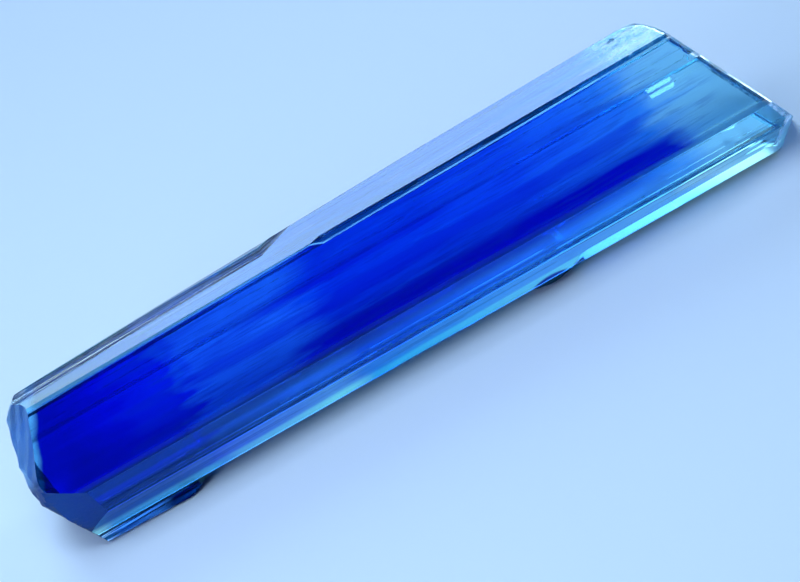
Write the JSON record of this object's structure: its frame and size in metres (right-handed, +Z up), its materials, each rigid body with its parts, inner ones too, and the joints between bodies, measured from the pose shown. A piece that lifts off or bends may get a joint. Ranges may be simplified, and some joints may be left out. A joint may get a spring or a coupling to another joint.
{
  "type": "tourmaline crystal",
  "caption": "Long striated blue tourmaline prism with one slanted end face and a broken base, lying on a prism face.",
  "frame": {"origin": "under the middle of the crystal, on the surface that it lies on", "axes": "+X along the crystal from its broken base to its tip, +Z up"},
  "size_m": [0.0562, 0.0114, 0.0112],
  "materials": {
    "tourmaline": "clear deep blue, paler teal towards the tip, glassy faces with fine lengthwise striations"
  },
  "bodies": {
    "root": {"tourmaline_crystal": "tourmaline"}
  },
  "joints": []
}
